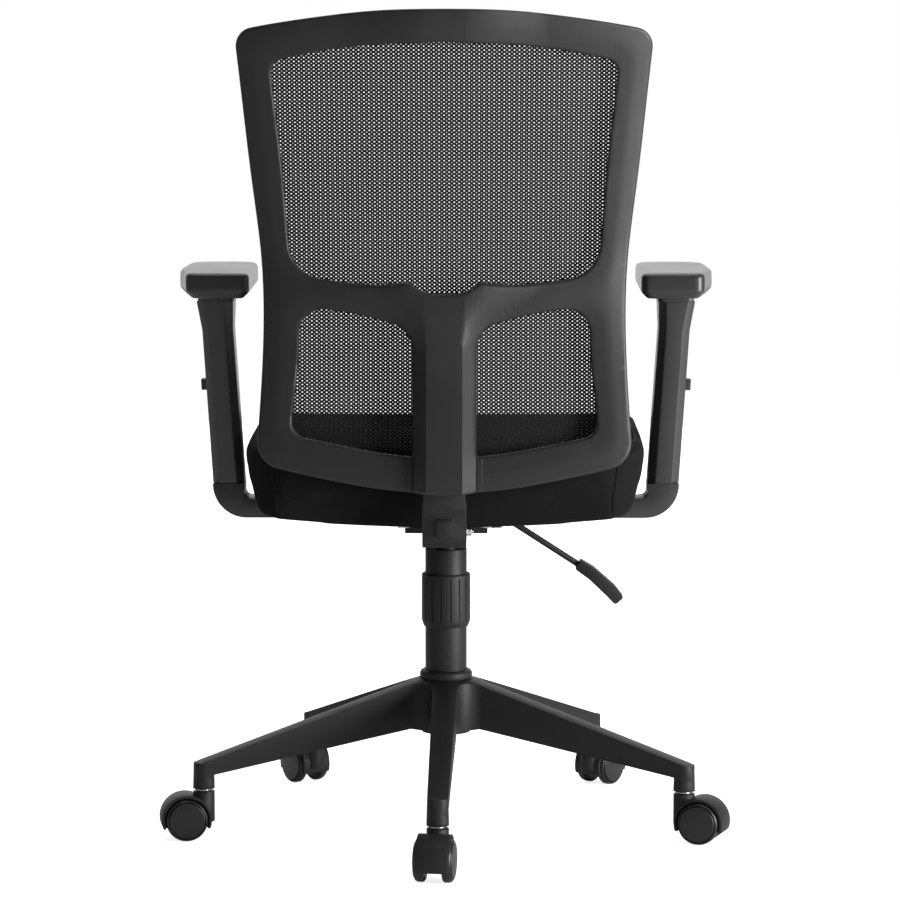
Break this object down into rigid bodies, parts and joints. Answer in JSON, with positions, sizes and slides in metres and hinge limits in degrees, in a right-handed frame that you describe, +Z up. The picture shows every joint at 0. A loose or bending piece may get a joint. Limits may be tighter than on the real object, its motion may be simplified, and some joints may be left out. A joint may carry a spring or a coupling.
{
  "type": "swivel office chair",
  "caption": "swivel office chair with a mesh back in a moulded frame, upholstered seat, height-adjustable T arms, gas lift column and star base on twin-wheel casters",
  "frame": {"origin": "on the floor, under the axis of the gas column", "axes": "+Z up, the sitter faces -Y, +X is the sitter's left"},
  "size_m": [0.6795, 0.6535, 0.9803],
  "materials": {
    "black_plastic": "satin",
    "button_plastic": "satin",
    "wheel_plastic": "satin",
    "pad_foam": "matte",
    "column_black": "satin",
    "steel": "satin",
    "plywood": "matte",
    "seat_fabric": "matte",
    "mesh_fabric": "matte"
  },
  "bodies": {
    "base": {"base_star": "black_plastic", "caster_sockets": "steel", "caster_stems": "steel", "column_tube": "column_black", "column_bush": "black_plastic", "base_collar": "black_plastic"},
    "sleeve_cover": {"dust_sleeve": "black_plastic"},
    "spindle": {"piston_rod": "steel", "thrust_bearing": "steel", "rod_clip": "steel"},
    "mechanism": {"gas_cylinder": "column_black", "mech_housing": "column_black", "tilt_axle": "steel", "tilt_spring": "steel", "stop_bolt": "steel", "tension_bolt": "steel"},
    "gas_pin": {"release_pin": "steel"},
    "knob": {"tension_knob": "black_plastic"},
    "lever_collar": {"lever_pivot": "black_plastic"},
    "lever": {"lever_rod": "column_black", "lever_handle": "black_plastic"},
    "seat": {"tilt_plate": "column_black", "underseat_bolts": "steel", "seat_pan": "plywood", "seat_cushion": "seat_fabric", "back_bracket": "column_black", "back_frame": "black_plastic", "back_screws": "steel", "mesh_panel": "mesh_fabric", "arm_bracket_left": "black_plastic", "arm_bracket_right": "black_plastic", "arm_bolts": "steel"},
    "arm_left": {"arm_sleeve_left": "black_plastic", "pad_plate_left": "black_plastic", "arm_pad_left": "pad_foam"},
    "button_left": {"arm_button_left": "button_plastic"},
    "arm_right": {"arm_sleeve_right": "black_plastic", "pad_plate_right": "black_plastic", "arm_pad_right": "pad_foam"},
    "button_right": {"arm_button_right": "button_plastic"},
    "caster_1": {"caster_hood_1": "black_plastic", "caster_axle_1": "steel"},
    "wheel_1a": {"caster_wheel_1a": "wheel_plastic"},
    "wheel_1b": {"caster_wheel_1b": "wheel_plastic"},
    "caster_2": {"caster_hood_2": "black_plastic", "caster_axle_2": "steel"},
    "wheel_2a": {"caster_wheel_2a": "wheel_plastic"},
    "wheel_2b": {"caster_wheel_2b": "wheel_plastic"},
    "caster_3": {"caster_hood_3": "black_plastic", "caster_axle_3": "steel"},
    "wheel_3a": {"caster_wheel_3a": "wheel_plastic"},
    "wheel_3b": {"caster_wheel_3b": "wheel_plastic"},
    "caster_4": {"caster_hood_4": "black_plastic", "caster_axle_4": "steel"},
    "wheel_4a": {"caster_wheel_4a": "wheel_plastic"},
    "wheel_4b": {"caster_wheel_4b": "wheel_plastic"},
    "caster_5": {"caster_hood_5": "black_plastic", "caster_axle_5": "steel"},
    "wheel_5a": {"caster_wheel_5a": "wheel_plastic"},
    "wheel_5b": {"caster_wheel_5b": "wheel_plastic"}
  },
  "joints": [
    {"name": "seat_swivel", "type": "hinge", "parent": "base", "child": "spindle", "pos_m": [0, 0, 0.2], "axis": [0, 0, 1], "continuous": true},
    {"name": "seat_height", "type": "slide", "parent": "spindle", "child": "mechanism", "axis": [0, 0, 1], "range_m": [0, 0.1]},
    {"name": "sleeve_slide", "type": "slide", "parent": "base", "child": "sleeve_cover", "axis": [0, 0, 1], "range_m": [-0.05, 0.025]},
    {"name": "lever_lift", "type": "hinge", "parent": "mechanism", "child": "lever_collar", "pos_m": [-0.06, 0, 0.371], "axis": [0, 1, 0], "range_deg": [0, 3], "stiffness_Nm_per_rad": 2, "springref_deg": -5.73},
    {"name": "lever_pull", "type": "slide", "parent": "lever_collar", "child": "lever", "axis": [-1, 0, 0], "range_m": [0, 0.012]},
    {"name": "pin_press", "type": "slide", "parent": "mechanism", "child": "gas_pin", "axis": [0, 0, -1], "range_m": [0, 0.0031], "stiffness_N_per_m": 600, "springref_m": -0.002},
    {"name": "tension_turn", "type": "hinge", "parent": "mechanism", "child": "knob", "pos_m": [0, -0.092, 0.33], "axis": [0, 0, 1], "range_deg": [-720, 720]},
    {"name": "seat_tilt", "type": "hinge", "parent": "mechanism", "child": "seat", "pos_m": [0, -0.045, 0.366], "axis": [-1, 0, 0], "range_deg": [0, 8], "stiffness_Nm_per_rad": 120, "springref_deg": -20.05},
    {"name": "arm_height_left", "type": "slide", "parent": "seat", "child": "arm_left", "axis": [0.0652, 0, 0.9979], "range_m": [0, 0.07]},
    {"name": "button_press_left", "type": "slide", "parent": "arm_left", "child": "button_left", "axis": [-0.9979, 0, 0.0652], "range_m": [0, 0.003], "stiffness_N_per_m": 900, "springref_m": -0.001},
    {"name": "arm_height_right", "type": "slide", "parent": "seat", "child": "arm_right", "axis": [-0.0652, 0, 0.9979], "range_m": [0, 0.07]},
    {"name": "button_press_right", "type": "slide", "parent": "arm_right", "child": "button_right", "axis": [0.9979, 0, 0.0652], "range_m": [0, 0.003], "stiffness_N_per_m": 900, "springref_m": -0.001},
    {"name": "caster_swivel_1", "type": "hinge", "parent": "base", "child": "caster_1", "pos_m": [0.00681, 0.29992, 0.05], "axis": [0, 0, 1], "continuous": true},
    {"name": "wheel_roll_1a", "type": "hinge", "parent": "caster_1", "child": "wheel_1a", "pos_m": [0.00998, 0.32169, 0.025], "axis": [-0.9895, 0.1444, 0], "continuous": true},
    {"name": "wheel_roll_1b", "type": "hinge", "parent": "caster_1", "child": "wheel_1b", "pos_m": [0.00998, 0.32169, 0.025], "axis": [-0.9895, 0.1444, 0], "continuous": true},
    {"name": "caster_swivel_2", "type": "hinge", "parent": "base", "child": "caster_2", "pos_m": [-0.28314, 0.09915, 0.05], "axis": [0, 0, 1], "continuous": true},
    {"name": "wheel_roll_2a", "type": "hinge", "parent": "caster_2", "child": "wheel_2a", "pos_m": [-0.3039, 0.10643, 0.025], "axis": [-0.3305, -0.9438, 0], "continuous": true},
    {"name": "wheel_roll_2b", "type": "hinge", "parent": "caster_2", "child": "wheel_2b", "pos_m": [-0.3039, 0.10643, 0.025], "axis": [-0.3305, -0.9438, 0], "continuous": true},
    {"name": "caster_swivel_3", "type": "hinge", "parent": "base", "child": "caster_3", "pos_m": [-0.1818, -0.23864, 0.05], "axis": [0, 0, 1], "continuous": true},
    {"name": "wheel_roll_3a", "type": "hinge", "parent": "caster_3", "child": "wheel_3a", "pos_m": [-0.19513, -0.25614, 0.025], "axis": [0.7955, -0.606, 0], "continuous": true},
    {"name": "wheel_roll_3b", "type": "hinge", "parent": "caster_3", "child": "wheel_3b", "pos_m": [-0.19513, -0.25614, 0.025], "axis": [0.7955, -0.606, 0], "continuous": true},
    {"name": "caster_swivel_4", "type": "hinge", "parent": "base", "child": "caster_4", "pos_m": [0.17078, -0.24664, 0.05], "axis": [0, 0, 1], "continuous": true},
    {"name": "wheel_roll_4a", "type": "hinge", "parent": "caster_4", "child": "wheel_4a", "pos_m": [0.18331, -0.26473, 0.025], "axis": [0.8221, 0.5693, 0], "continuous": true},
    {"name": "wheel_roll_4b", "type": "hinge", "parent": "caster_4", "child": "wheel_4b", "pos_m": [0.18331, -0.26473, 0.025], "axis": [0.8221, 0.5693, 0], "continuous": true},
    {"name": "caster_swivel_5", "type": "hinge", "parent": "base", "child": "caster_5", "pos_m": [0.28735, 0.08621, 0.05], "axis": [0, 0, 1], "continuous": true},
    {"name": "wheel_roll_5a", "type": "hinge", "parent": "caster_5", "child": "wheel_5a", "pos_m": [0.30903, 0.08991, 0.025], "axis": [-0.1685, 0.9857, 0], "continuous": true},
    {"name": "wheel_roll_5b", "type": "hinge", "parent": "caster_5", "child": "wheel_5b", "pos_m": [0.30903, 0.08991, 0.025], "axis": [-0.1685, 0.9857, 0], "continuous": true}
  ],
  "couplings": [
    {"joint": "pin_press", "follows": "lever_lift", "m_per_rad": 0.057296}
  ]
}
